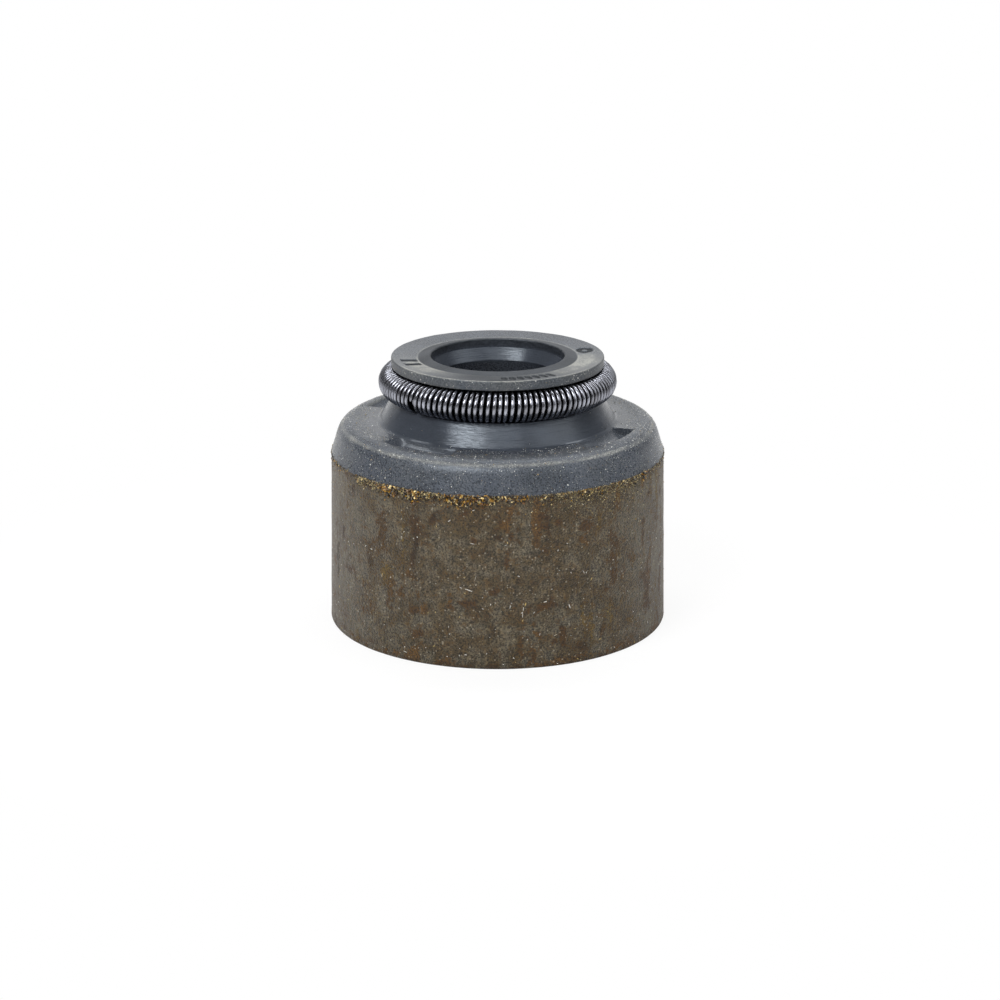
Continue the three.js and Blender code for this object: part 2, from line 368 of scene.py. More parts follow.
def loop_faces(rows, columns):
    """Quads of a surface that closes on itself both ways, facing out when rows run up the outside."""
    row, column = np.meshgrid(np.arange(rows), np.arange(columns), indexing="ij")
    up, after = (row + 1) % rows, (column + 1) % columns
    corners = [(row, column), (row, after), (up, after), (up, column)]
    return np.stack([r * columns + c for r, c in corners], -1).reshape(-1, 4)


def column_angles(step, dense=(), edges=(), fine=0.35, pair=0.1):
    """Angles round the seal in radians, closer in the dense stretches, with a pair at each edge."""
    grid = np.arange(-180, 180, step)
    for low, high in dense:
        grid = np.concatenate([grid[(grid < low) | (grid > high)], np.arange(low, high, fine)])
    for edge in edges:
        grid = np.concatenate([grid[np.abs(grid - edge) > step / 2], [edge - pair, edge + pair]])
    return np.radians(np.sort(grid))


class Shader:
    """Node tree in which each call adds a node and gives back its output."""

    def __init__(self, tree):
        self.tree = tree

    def add(self, kind, inputs=None, **settings):
        node = self.tree.nodes.new("ShaderNode" + kind)
        for name, value in settings.items():
            setattr(node, name, value)
        for name, value in (inputs or {}).items():
            self.feed(node.inputs[name], value)
        return node

    def feed(self, socket, value):
        if isinstance(value, bpy.types.NodeSocket):
            self.tree.links.new(value, socket)
        elif socket.type == "RGBA" and len(value) == 3:
            socket.default_value = (*value, 1.0)
        else:
            socket.default_value = value

    def math(self, operation, a, b=0.0, clamp=False):
        node = self.add("Math", {0: a, 1: b}, operation=operation, use_clamp=clamp)
        return node.outputs[0]

    def remap(self, value, low, high, to_low=0.0, to_high=1.0):
        inputs = {0: value, 1: low, 2: high, 3: to_low, 4: to_high}
        return self.add("MapRange", inputs).outputs[0]

    def mix(self, factor, a, b, blend="MIX"):
        node = self.add("Mix", {0: factor, 6: a, 7: b}, data_type="RGBA", blend_type=blend)
        return node.outputs[2]

    def shade(self, colour, level):
        """Colour made lighter or darker by a level."""
        grey = self.add("CombineColor", {0: level, 1: level, 2: level}).outputs[0]
        return self.mix(1.0, colour, grey, "MULTIPLY")

    def millimetres(self, stretch=(1, 1, 1)):
        """Place on the object in millimetres, with each axis scaled."""
        place_on = self.add("TexCoord").outputs["Object"]
        scale = tuple(s / MM for s in stretch)
        node = self.add("VectorMath", {0: place_on, 1: scale}, operation="MULTIPLY")
        return node.outputs[0]

    def noise(self, vector, scale, detail=2.0, roughness=0.5, distortion=0.0):
        inputs = {
            "Vector": vector,
            "Scale": scale,
            "Detail": detail,
            "Roughness": roughness,
            "Distortion": distortion,
        }
        return self.add("TexNoise", inputs).outputs[0]

    def attribute(self, name, output="Fac"):
        return self.add("Attribute", attribute_name=name).outputs[output]

    def effect(self, name, inputs, output=0):
        """One of the shared effects, with this material's own values."""
        if name not in bpy.data.node_groups:
            EFFECTS[name](name)
        node = self.add("Group", node_tree=bpy.data.node_groups[name])
        for socket, value in inputs.items():
            self.feed(node.inputs[socket], value)
        return node.outputs[output]


def effect_group(name, inputs, outputs):
    """Empty node group with its sockets, and the nodes at both of its ends."""
    group = bpy.data.node_groups.new(name, "ShaderNodeTree")
    for label, kind, default in inputs:
        socket = group.interface.new_socket(label, in_out="INPUT", socket_type="NodeSocket" + kind)
        socket.default_value = (*default, 1.0) if kind == "Color" else default
    for label, kind in outputs:
        group.interface.new_socket(label, in_out="OUTPUT", socket_type="NodeSocket" + kind)
    start = group.nodes.new("NodeGroupInput")
    end = group.nodes.new("NodeGroupOutput")
    return Shader(group), start.outputs, end.inputs


def mottling(name):
    """Patches of two colours with ragged borders."""
    sockets = [
        ("First", "Color", (0.2, 0.2, 0.2)),
        ("Second", "Color", (0.1, 0.1, 0.1)),
        ("Scale", "Float", 1.0),
        ("Sharpness", "Float", 0.5),
    ]
    shader, given, made = effect_group(name, sockets, [("Color", "Color"), ("Mask", "Float")])
    where = shader.millimetres()
    patches = shader.noise(where, given["Scale"], 5.0, 0.62, 0.6)
    low = shader.remap(given["Sharpness"], 0, 1, 0.24, 0.48)
    high = shader.math("SUBTRACT", 1.0, low)
    mask = shader.add("MapRange", {0: patches, 1: low, 2: high}, interpolation_type="SMOOTHSTEP")
    shader.feed(made["Mask"], mask.outputs[0])
    shader.feed(made["Color"], shader.mix(mask.outputs[0], given["First"], given["Second"]))


def specks(name):
    """Small separate specks of uneven size."""
    sockets = [("Scale", "Float", 4.0), ("Share", "Float", 0.3), ("Size", "Float", 0.3)]
    shader, given, made = effect_group(name, sockets, [("Mask", "Float")])
    inputs = {"Vector": shader.millimetres(), "Scale": given["Scale"]}
    cells = shader.add("TexVoronoi", inputs, feature="F1")
    lot = shader.add("SeparateColor", {0: cells.outputs["Color"]})
    chosen = shader.math("LESS_THAN", lot.outputs[0], given["Share"])
    reach = shader.math("MULTIPLY", given["Size"], shader.remap(lot.outputs[1], 0, 1, 0.35, 1))
    inside = shader.math("SUBTRACT", reach, cells.outputs["Distance"])
    edge = shader.math("DIVIDE", inside, shader.math("MULTIPLY", reach, 0.5), clamp=True)
    shader.feed(made["Mask"], shader.math("MULTIPLY", edge, chosen))


def grain(name):
    """Fine grain of the surface, from 0 to 1."""
    sockets = [("Scale", "Float", 10.0), ("Contrast", "Float", 1.0)]
    shader, given, made = effect_group(name, sockets, [("Value", "Float")])
    fine = shader.noise(shader.millimetres(), given["Scale"], 1.6, 0.6)
    spread = shader.math("MULTIPLY", shader.math("SUBTRACT", fine, 0.5), given["Contrast"])
    shader.feed(made["Value"], shader.math("ADD", spread, 0.5, clamp=True))


def tool_lines(name):
    """Lines that the tool leaves, round the axis or along it, from 0 to 1."""
    sockets = [("Scale", "Float", 8.0), ("Round", "Float", 1.0), ("Along", "Float", 0.05)]
    shader, given, made = effect_group(name, sockets, [("Value", "Float")])
    place_on = shader.add("SeparateXYZ", {0: shader.millimetres()}).outputs
    spun = [shader.math("MULTIPLY", axis, given["Round"]) for axis in place_on[:2]]
    high = shader.math("MULTIPLY", place_on[2], given["Along"])
    vector = shader.add("CombineXYZ", {0: spun[0], 1: spun[1], 2: high}).outputs[0]
    shader.feed(made["Value"], shader.noise(vector, given["Scale"], 3.0, 0.6))


EFFECTS = {"Mottling": mottling, "Specks": specks, "Grain": grain, "Tool Lines": tool_lines}


def new_material(name, **finish):
    """Material with one Principled BSDF, whose even values are set on its own sockets."""
    material = bpy.data.materials.new(name)
    material.use_nodes = True
    shader = Shader(material.node_tree)
    surface = material.node_tree.nodes["Principled BSDF"]
    for socket, value in finish.items():
        shader.feed(surface.inputs[socket.replace("_", " ")], value)
    return material, shader, surface.inputs


def bump(shader, height, distance, under=None):
    """Normal of a height from 0 to 1 that stands for distance in millimetres."""
    inputs = {"Height": height, "Distance": distance * MM, "Strength": 1.0}
    if under is not None:
        inputs["Normal"] = under
    return shader.add("Bump", inputs).outputs[0]


def steel_material(settings):
    material, shader, surface = new_material(
        "rusted_steel",
        Metallic=0.3,
        Specular_IOR_Level=0.5,
        Sheen_Weight=0.12,
        Sheen_Roughness=0.4,
    )
    film = shader.effect(
        "Mottling",
        {"First": settings.grey, "Second": settings.olive, "Scale": 0.85, "Sharpness": 0.5},
    )
    fine = shader.effect(
        "Mottling",
        {"First": (0.76, 0.77, 0.8), "Second": (1.1, 1.07, 1.02), "Scale": 3.0, "Sharpness": 0.5},
    )
    film = shader.mix(1.0, film, fine, "MULTIPLY")
    lines = shader.effect("Tool Lines", {"Scale": 8.0, "Round": 1.0, "Along": 0.2})
    film = shader.shade(film, shader.remap(lines, 0.32, 0.68, 0.76, 1.26))
    dust = shader.effect("Grain", {"Scale": 12.5, "Contrast": 5.0})
    film = shader.shade(film, shader.remap(dust, 0, 1, 0.4, 1.72))
    spots = shader.effect("Specks", {"Scale": 1.5, "Share": 0.2, "Size": 0.45})
    broken = shader.effect("Grain", {"Scale": 3.0, "Contrast": 3.6})
    spots = shader.math("MULTIPLY", spots, shader.remap(broken, 0.4, 0.65), clamp=True)
    old_rust = shader.shade(settings.brown, 0.9)
    colour_now = shader.mix(shader.math("MULTIPLY", spots, 0.7), film, old_rust)
    stain = shader.attribute("stain", "Alpha")
    ragged = shader.math("ADD", stain, shader.remap(broken, 0, 1, -0.5, 0.2))
    ragged = shader.math("ADD", ragged, shader.remap(dust, 0, 1, -0.12, 0.1))
    stain_mask = shader.math("MULTIPLY", shader.remap(ragged, 0.1, 0.4), 0.95)
    tinted = shader.shade(shader.attribute("stain", "Color"), shader.remap(dust, 0, 1, 0.45, 1.45))
    colour_now = shader.mix(stain_mask, colour_now, tinted)
    pale = shader.effect("Specks", {"Scale": 7.0, "Share": 0.3, "Size": 0.4})
    colour_now = shader.mix(shader.math("MULTIPLY", pale, 0.55), colour_now, tone(168, 158, 138))
    dark = shader.effect("Specks", {"Scale": 5.2, "Share": 0.38, "Size": 0.4})
    colour_now = shader.mix(shader.math("MULTIPLY", dark, 0.7), colour_now, tone(34, 28, 20))
    shader.feed(surface["Base Color"], colour_now)
    rough_now = shader.remap(dust, 0, 1, 0.42, 0.66)
    rough_now = shader.math("ADD", rough_now, shader.math("MULTIPLY", stain_mask, 0.2))
    shader.feed(surface["Roughness"], rough_now)
    normal = bump(shader, lines, 0.014)
    shader.feed(surface["Normal"], bump(shader, dust, 0.022, normal))
    return material


def rubber_material(settings):
    material, shader, surface = new_material(
        "moulded_rubber", Specular_IOR_Level=0.5, Specular_Tint=(0.82, 0.91, 1.0)
    )
    dusty = shader.attribute("dust")
    polish = shader.attribute("polish")
    dirt = shader.attribute("dirt")
    matte = shader.math("SUBTRACT", 1.0, polish)
    body = shader.effect(
        "Mottling",
        {"First": settings.grey, "Second": settings.worn, "Scale": 0.5, "Sharpness": 0.1},
    )
    fine = shader.effect("Grain", {"Scale": 14.0, "Contrast": 3.6})
    cloud = shader.effect("Grain", {"Scale": 1.1, "Contrast": 2.4})
    contrast = shader.remap(polish, 0, 1, 0.75, 0.12)
    depth = shader.math("MULTIPLY", shader.math("SUBTRACT", fine, 0.5), contrast)
    body = shader.shade(body, shader.math("ADD", 1.0, depth))
    # The dust share holds dust and also painted highlights on the pockets' brink, the shoulder's crest
    # and the flange, so the pale film there is partly painted highlight.
    film = shader.math("MULTIPLY", dusty, shader.remap(cloud, 0.1, 0.9, 0.5, 1.3))
    film = shader.math("MULTIPLY", film, shader.remap(fine, 0.1, 0.9, 0.4, 1.5), clamp=True)
    colour_now = shader.mix(film, body, settings.dust)
    small = shader.effect("Specks", {"Scale": 8.0, "Share": 0.34, "Size": 0.34})
    strewn = shader.math("MULTIPLY", small, shader.remap(dusty, 0.015, 0.12, 0.0, 0.75))
    strewn = shader.math("MULTIPLY", strewn, shader.remap(cloud, 0.3, 0.8, 0.35, 1.0))
    colour_now = shader.mix(strewn, colour_now, tone(190, 190, 184))
    # Dirt and painted shade darken the rubber: deep in the passage, under the spring, and on the front of
    # the flange top and of the ledge.
    colour_now = shader.mix(dirt, colour_now, tone(21, 22, 23))
    shader.feed(surface["Base Color"], colour_now)
    rough_now = shader.remap(fine, 0, 1, 0.24, 0.34)
    rough_now = shader.math("SUBTRACT", rough_now, shader.math("MULTIPLY", polish, 0.09))
    rough_now = shader.math("ADD", rough_now, shader.math("MULTIPLY", dirt, 0.35))
    rough_now = shader.math("ADD", rough_now, shader.math("MULTIPLY", film, 0.4))
    shader.feed(surface["Roughness"], rough_now)
    rings = shader.effect("Tool Lines", {"Scale": 9.0, "Round": 0.05, "Along": 1.8})
    normal = bump(shader, shader.math("MULTIPLY", rings, polish), 0.02)
    normal = bump(shader, shader.math("MULTIPLY", fine, matte), 0.006, normal)
    shader.feed(surface["Normal"], normal)
    return material


def wire_material(settings):
    material, shader, surface = new_material("spring_wire", Metallic=1.0)
    tarnish = shader.effect(
        "Mottling",
        {"First": settings.bright, "Second": settings.dull, "Scale": 1.2, "Sharpness": 0.0},
    )
    dust = shader.effect("Grain", {"Scale": 12.0, "Contrast": 2.0})
    tarnish = shader.shade(tarnish, shader.remap(dust, 0, 1, 0.85, 1.08))
    # Painted shade and grime on the wire where it faces the next turns and the groove.
    tarnish = shader.shade(tarnish, shader.remap(shader.attribute("gap"), 0, 1, 1.08, 0.1))
    shader.feed(surface["Base Color"], tarnish)
    shader.feed(surface["Roughness"], shader.remap(dust, 0, 1, 0.2, 0.3))
    shader.feed(surface["Normal"], bump(shader, dust, 0.001))
    return material


def grain_material(name, roughness):
    """Material of loose grains, each of which keeps its own tint."""
    material, shader, surface = new_material(name, Specular_IOR_Level=0.7)
    dust = shader.effect("Grain", {"Scale": 16.0, "Contrast": 2.4})
    tint = shader.shade(shader.attribute("tint", "Color"), shader.remap(dust, 0, 1, 0.6, 1.35))
    shader.feed(surface["Base Color"], tint)
    shader.feed(surface["Roughness"], shader.remap(dust, 0, 1, roughness, roughness + 0.3))
    shader.feed(surface["Normal"], bump(shader, dust, 0.01))
    return material


class Section:
    """Section of the seal in millimetres, from the sizes of its pieces."""

    coil_room = 0.05
    tube_wall = 1.05
    flange_reach = 0.103
    bead_rise = 0.027
    bead_step = 0.08
    lip_rise = 0.23
    mouth_depth = 0.437
    stop_cover = 0.28
    lining = 6.25
    lining_foot = 1.2
    rib_top = 6.0
    rib_foot = 1.7
    ribs = 3
    rib_rise = 0.4
    pockets = (-125, -35, 55, 145)
    pocket_half = 17
    pocket_half_width = 0.52

    def __init__(self, seal):
        self.steel = in_mm(seal.sleeve)
        self.rubber = in_mm(seal.rubber)
        self.line = LINE_RADIUS / MM
        self.steel_top = SLEEVE_TOP / MM
        self.ledge = self.steel.bare + self.rubber.skirt
        self.neck_top = self.ledge + self.rubber.neck
        self.coil = (COIL_HIGH.z - COIL_LOW.z) / MM / 2
        self.groove = self.coil + self.coil_room
        self.spring_height = (COIL_HIGH.z + COIL_LOW.z) / MM / 2
        self.ring = COIL_HIGH.x / MM - self.coil
        self.neck_radius = self.ring + self.coil_room
        self.neck_foot = self.neck_radius + self.rubber.flare
        self.passage = self.neck_foot - self.tube_wall
        self.flange_foot = self.spring_height + self.groove
        self.flange_top = self.flange_foot + self.rubber.flange
        self.flange_radius = self.ring + self.flange_reach
        self.mouth_top = self.flange_top + self.bead_rise
        self.stop = self.steel_top - self.steel.wall - self.stop_cover

    def sleeve_radius(self, height):
        return self.line + self.steel.taper * (1 - height / self.steel.bare)

    def bonded(self, spacing):
        """Surface where rubber and steel meet, from the outside over the top to the lining's foot."""
        steel = self.steel
        inside = self.line - steel.rebate
        wall = steel.wall
        hole = self.passage + 0.6
        joggle_top = steel.bare - wall + steel.rebate / 2
        joggle_foot = joggle_top - steel.rebate
        corners = [
            (self.line, steel.bare),
            (inside, steel.bare),
            (inside, self.steel_top, steel.bend + wall),
            (hole, self.steel_top),
            (hole, self.steel_top - wall),
            (inside - wall, self.steel_top - wall, steel.bend),
            (inside - wall, joggle_top),
            (self.sleeve_radius(joggle_foot) - wall, joggle_foot),
            (self.sleeve_radius(self.lining_foot) - wall, self.lining_foot),
        ]
        return outline(corners, spacing)

    def bare_steel(self, spacing):
        """Sleeve from the lining's foot round the open rim and up to the rubber."""
        steel = self.steel
        corners = [
            (self.sleeve_radius(self.lining_foot) - steel.wall, self.lining_foot),
            (self.sleeve_radius(0) - steel.wall, 0, steel.rim),
            (self.sleeve_radius(0), 0, steel.rim),
            (self.line, steel.bare),
        ]
        return outline(corners, [0.6, 0.3, spacing])[1:-1]

    def shoulder(self):
        """Skirt, shoulder, ledge and neck, from the steel up to the spring."""
        rubber = self.rubber
        corners = [
            (self.line, self.steel.bare),
            (self.line - rubber.skirt * math.tan(rubber.lean), self.ledge, rubber.shoulder),
            (self.neck_foot, self.ledge, rubber.fillet),
            (self.neck_radius, self.neck_top),
        ]
        return outline(corners, [0.1, 0.06, 0.09])

    def spring_seat(self):
        """Groove under the coil, from its lower lip round to the flange's underside."""
        low = -math.pi / 2 + math.asin(self.coil_room / self.groove)
        angles = np.linspace(low, -1.5 * math.pi, 15)[1:]
        radius = self.ring + self.groove * np.cos(angles)
        return list(zip(radius, self.spring_height + self.groove * np.sin(angles)))

    def bore(self):
        """Flange, bead, mouth, lip, passage and stop, from the flange's underside to the lining."""
        rubber = self.rubber
        lip_height = self.spring_height + self.lip_rise
        relief_height, relief_slope = 0.9, math.radians(24)
        relief = lip_height - relief_height
        corners = [
            (self.ring, self.flange_foot),
            (self.flange_radius, self.flange_foot, 0.05),
            (self.flange_radius, self.flange_top, 0.07),
            (rubber.mouth + rubber.bead, self.flange_top - self.bead_step, 0.1),
            (rubber.mouth, self.mouth_top, 0.08),
            (rubber.mouth, self.mouth_top - self.mouth_depth, 0.05),
            (rubber.lip, lip_height, 0.04),
            (rubber.lip + relief_height * math.tan(relief_slope), relief),
            (self.neck_radius - self.tube_wall, min(self.neck_top, relief)),
            (self.passage, self.ledge),
            (self.passage, self.stop),
            (self.lining, self.stop),
        ]
        spacing = [0.2, 0.08, 0.045, 0.05, 0.07, 0.09, 0.2, 0.4, 0.6, 0.8, 0.8]
        return outline(corners, spacing)[1:]

    def lining_ribs(self):
        """Inside of the rubber from the stop to its foot, with three ribs that grip the guide."""
        along = np.linspace(-0.5, 0.5, 9)
        rise = self.rib_rise * np.cos(math.pi * along)
        rows = []
        for rib in range(self.ribs):
            middle = self.rib_top + (self.rib_foot - self.rib_top) * (rib + 0.5) / self.ribs
            rows += list(zip(self.lining - rise, middle - along))
        return [*rows, (self.lining, self.rib_foot), (self.lining + 0.5, self.lining_foot)]

    def pocket_depth(self, radius, height, turn):
        """Depth under the ledge of the scoop that each point lies in."""
        depth = self.rubber.pocket
        half_width = self.pocket_half_width
        floor = (half_width**2 + depth**2) / (2 * depth)
        ring = self.neck_foot + self.coil_room + half_width
        arch = np.sqrt(np.clip(floor**2 - (radius - ring) ** 2, 0, None))
        under = self.ledge - depth + floor - arch
        scoop = np.where(np.abs(radius - ring) < half_width, np.clip(height - under, 0, None), 0)
        scoop = scoop * (height > self.ledge - 0.4) * (height < self.ledge + 0.3)
        return scoop * self.in_pocket(turn)

    def in_pocket(self, turn):
        """1 inside the pockets' stretches of the ledge, which start with a slope and end in a wall."""
        inside = 0
        for middle in self.pockets:
            away = (np.degrees(turn) - middle + 180) % 360 - 180
            slope = smooth(away, -self.pocket_half - 0.1, -self.pocket_half + 5)
            inside = inside + slope * (away < self.pocket_half)
        return inside


class SealOperator:
    """What the seal's operators share."""

    bl_options = {"REGISTER", "UNDO"}

    def finish(self, piece, material, slot, replaced=None):
        piece.data.materials.append(material)
        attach(piece, "root")
        if replaced:
            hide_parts(replaced)
        return {"FINISHED"}


class SEAL_OT_sleeve(SealOperator, bpy.types.Operator):
    """Build the drawn steel sleeve, with stains and scale on its outside wall"""

    bl_idname = "seal.sleeve"
    bl_label = "Steel Sleeve"

    strewn_stains = 190
    foot_stains = 26
    dent_height = 0.006

    def execute(self, context):
        seal = context.scene.seal
        section = Section(seal)
        steel = section.steel
        profile = np.array(section.bare_steel(0.11) + section.bonded(0.5))
        angles = column_angles(0.8)
        radius, turn = np.meshgrid(profile[:, 0], angles, indexing="ij")
        height = np.repeat(profile[:, 1:], len(angles), axis=1)
        wall = (radius > section.line - 0.02) & (height < steel.bare - 1e-4)
        points = place(radius, turn, height)
        stain = self.stains(section, seal.sleeve, points, turn, height, wall)
        scale = 0.5 + 0.5 * rough(points, 4.0, 3.0)
        dents = rough(points, 0.9, 11.0)
        radius = radius + wall * (steel.relief * stain[..., 3] * scale + self.dent_height * dents)
        points = place(radius, turn, height).reshape(-1, 3)
        piece = make_piece("steel_sleeve_wall", points, loop_faces(*radius.shape))
        store(piece, "stain", stain.reshape(-1, 4))
        return self.finish(piece, steel_material(seal.sleeve), "steel", "steel_sleeve")

    def stains(self, section, colours, points, turn, height, wall):
        """Colour and strength of the stain at each point of the wall."""
        kinds = {
            "rust": tuple(colours.rust),
            "brown": tuple(colours.brown),
            "dark": tone(34, 28, 20),
            "olive": tone(104, 88, 48),
        }
        random = np.random.default_rng(31)
        marks = list(STAINS)
        for _ in range(self.strewn_stains):
            degrees = random.uniform(-180, 180)
            high = random.uniform(0.2, 8.0)
            tall = random.uniform(0.08, 0.3) * random.choice([1, 1.5, 4])
            kind = random.choice(["rust", "brown", "brown", "dark", "olive"])
            wide = random.uniform(0.06, 0.26)
            marks.append((degrees, high, wide, tall, kind, random.uniform(0.35, 0.85)))
        for _ in range(self.foot_stains):
            degrees = random.uniform(-180, 180)
            high = random.uniform(0.05, 0.25)
            wide = random.uniform(0.3, 1.0)
            marks.append((degrees, high, wide, 0.16, "rust", random.uniform(0.3, 0.6)))
        stain = np.zeros((*turn.shape, 4))
        stain[..., :3] = kinds["brown"]
        warp = 0.22 * rough(points, 1.6, 5.0)
        warp_up = 0.22 * rough(points, 1.6, 8.0)
        rows = np.any(wall, axis=1)
        for degrees, high, wide, tall, kind, strength in marks:
            away = (turn[rows] - math.radians(degrees) + math.pi) % (2 * math.pi) - math.pi
            across = (away * section.line + warp[rows] * min(1, 4 * wide)) / wide
            up = (height[rows] - high + warp_up[rows] * min(1, 4 * tall)) / tall
            weight = strength * np.exp(-(across**2 + up**2) * 0.7)
            cover = weight[..., None]
            stain[rows, :, :3] = stain[rows, :, :3] * (1 - cover) + np.array(kinds[kind]) * cover
            stain[rows, :, 3] = 1 - (1 - stain[rows, :, 3]) * (1 - weight)
        edge = smooth(height, section.steel.bare - 0.5, section.steel.bare) * wall
        rim = smooth(-height, -0.34, -0.02) * wall
        stain[..., :3] *= 1 - 0.45 * rim[..., None]
        stain[..., 3] = np.maximum.reduce([stain[..., 3], 0.5 * edge, 0.55 * rim]) * wall
        return stain


class SEAL_OT_rubber(SealOperator, bpy.types.Operator):
    """Build the moulded rubber body, from the skirt on the steel to the sealing lip and the lining"""

    bl_idname = "seal.rubber"
    bl_label = "Rubber Body"

    ripple_height = 0.006
    ripple_reach = 0.007
    tear_height = 0.012
    tear_reach = 0.028

    def execute(self, context):
        seal = context.scene.seal
        section = Section(seal)
        profile = np.array(
            section.bonded(0.6)[:0:-1]
            + section.shoulder()
            + section.spring_seat()
            + section.bore()
            + section.lining_ribs()
        )
        ends = [middle + section.pocket_half for middle in section.pockets]
        angles = column_angles(1.6, [(-84, -62), (0, 38), (96, 113)], ends)
        radius, turn = np.meshgrid(profile[:, 0], angles, indexing="ij")
        height = np.repeat(profile[:, 1:], len(angles), axis=1)
        zones = self.zones(section, radius, turn, height)
        points = place(radius, turn, height)
        ripple = rough(points, 1.3, 2.0)
        ledge_depth = section.pocket_depth(radius, height, turn)
        mark = self.marks(turn, radius) * zones.flange_top
        tear = zones.mouth_edge * rough(points, 6.0, 4.0)
        height = height - ledge_depth - section.rubber.marks * mark + self.tear_height * tear
        height = height + self.ripple_height * ripple * zones.open
        radius = radius + self.ripple_reach * ripple * zones.open + self.tear_reach * tear
        points = place(radius, turn, height).reshape(-1, 3)
        piece = make_piece("rubber_moulding", points, loop_faces(*radius.shape), 50)
        patches = 0.5 + 0.5 * rough(place(radius, turn, height), 0.8, 9.0)
        # The dust share holds dust and painted highlights, broken into patches and left out of the mould
        # marks.
        dust = zones.dust * (0.6 + 0.8 * patches) * (1 - 0.9 * (mark > 0.2))
        store(piece, "dust", dust.ravel())
        store(piece, "polish", zones.polish.ravel())
        # Darker in the mould marks and wherever the zones hold dirt and painted shade, broken into
        # patches.
        dirt = np.clip(1.1 * smooth(mark, 0.15, 0.7) + zones.dirt * (0.6 + 0.7 * patches), 0, 1)
        store(piece, "dirt", dirt.ravel())
        return self.finish(piece, rubber_material(seal.rubber), "rubber", "rubber_body")

    def zones(self, section, radius, turn, height):
        """Share that each point has in the parts of the surface that look different."""
        degrees = np.degrees(turn)
        foot = self.foot_zones(section, radius, turn, height)
        head = self.head_zones(section, radius, height)
        bore = self.bore_zones(section, radius, height)
        lit = self.flange_dust_and_sheen(section, radius, degrees, head)
        # Dust share: an even film of dust, to which painted highlights are added on the pockets' brink,
        # the shoulder's crest and the flange.
        thin = [0.05 * foot.skirt, 0.03 * foot.ledge, 0.04 * head.side, 0.02 * head.top]
        # Painted shade on the front of the ledge, under the neck and the spring.
        shaded_ledge_front = (foot.ledge - foot.polish) * bell(degrees, 0, 42)
        # Darkening from dirt and painted shade. Painted shade: in the spring's seat, on the front of the
        # flange top, deep in the passage and on the front of the ledge. The mouth's wall, the bead and
        # the flange's side are darker as well.
        grime_and_shade = [
            # painted shade in the spring's seat under the coil
            0.8 * bore.seat,
            0.5 * bore.wall,
            0.7 * head.bead,
            # painted shade on the front of the flange top
            0.85 * head.flat * bell(degrees, 0, 44),
            # painted shade deep in the passage
            1.9 * bore.inside,
            0.35 * head.side,
            0.35 * shaded_ledge_front,
        ]
        return SimpleNamespace(
            open=np.where(foot.outside | head.above, 1.0, 0.0),
            dust=np.maximum.reduce([*thin, 0.6 * foot.brink, 0.5 * foot.crest, lit]),
            polish=np.clip(foot.neck + foot.polish + bore.lip * (1 - bore.wall), 0, 1),
            dirt=np.maximum.reduce(grime_and_shade),
            flange_top=head.flat,
            mouth_edge=bore.edge,
        )

    def foot_zones(self, section, radius, turn, height):
        """Skirt, shoulder, ledge and neck."""
        level, foot = section.ledge, section.neck_foot
        outside = (radius > section.neck_radius - 0.01) & (height > section.steel.bare - 0.01)
        skirt = outside & (height < level + 0.01)
        ledge = skirt * smooth(height, level - 0.35, level - 0.02)
        neck = (height > level + 0.001) & (height < section.neck_top + 0.01)
        # Painted highlight along the outer edge of each pocket, carried in the dust share.
        brink = bell(radius, foot + 1.07, 0.05) * section.in_pocket(turn)
        # Painted highlight in a band on the shoulder's rounding, carried in the dust share.
        crest = bell(height, level - 0.21, 0.06) * outside * (radius > foot + 1.1)
        return SimpleNamespace(
            outside=outside,
            skirt=skirt,
            ledge=ledge,
            neck=neck & (radius > section.neck_radius - 0.1),
            polish=ledge * (1 - smooth(radius, foot + 0.3, foot + 1.0)),
            brink=brink * ledge,
            crest=crest,
        )

    def head_zones(self, section, radius, height):
        """Flange and bead."""
        rim, top = section.flange_radius, section.flange_top
        mouth = section.rubber.mouth
        bead_foot = mouth + section.rubber.bead
        above = height > section.flange_foot - 0.001
        flat = (height > top - 0.1) * smooth(radius, bead_foot, bead_foot + 0.06)
        bead = (height > top - 0.12) * smooth(radius, mouth - 0.04, mouth)
        return SimpleNamespace(
            above=above,
            side=above * smooth(radius, rim - 0.06, rim - 0.01),
            edge=above * bell(radius, rim - 0.06, 0.06),
            top=(height > top - 0.1) * smooth(radius, mouth + 0.02, bead_foot - 0.1),
            flat=flat * (1 - smooth(radius, rim - 0.12, rim - 0.04)),
            bead=bead * (1 - smooth(radius, bead_foot - 0.02, bead_foot + 0.04)),
        )

    def bore_zones(self, section, radius, height):
        """Mouth, lip, the passage under the lip and the spring's seat."""
        mouth, mouth_top = section.rubber.mouth, section.mouth_top
        wall = (radius < mouth + 0.06) & (height > mouth_top - 0.5)
        seat = (radius < section.ring + 0.03) & (radius > section.ring - section.groove - 0.01)
        low, high = section.neck_top - 0.02, section.flange_foot + 0.001
        return SimpleNamespace(
            wall=wall * smooth(height, mouth_top - 0.46, mouth_top - 0.3),
            edge=(height > mouth_top - 0.3) * smooth(-radius, -mouth - 0.1, -mouth),
            lip=(radius < mouth + 0.01) & (height > section.spring_height + 0.2),
            # Passage under the lip, which the zones darken as painted shade.
            inside=(radius < mouth - 0.2) & (height < section.spring_height + 0.15),
            seat=seat & (height > low) & (height < high),
        )

    def flange_dust_and_sheen(self, section, radius, degrees, head):
        """Dust on the flange with painted sheen and highlights: a pale patch on each side, the bead's
        foot and the rim.
        """
        rim = section.flange_radius
        bead_foot = section.rubber.mouth + section.rubber.bead
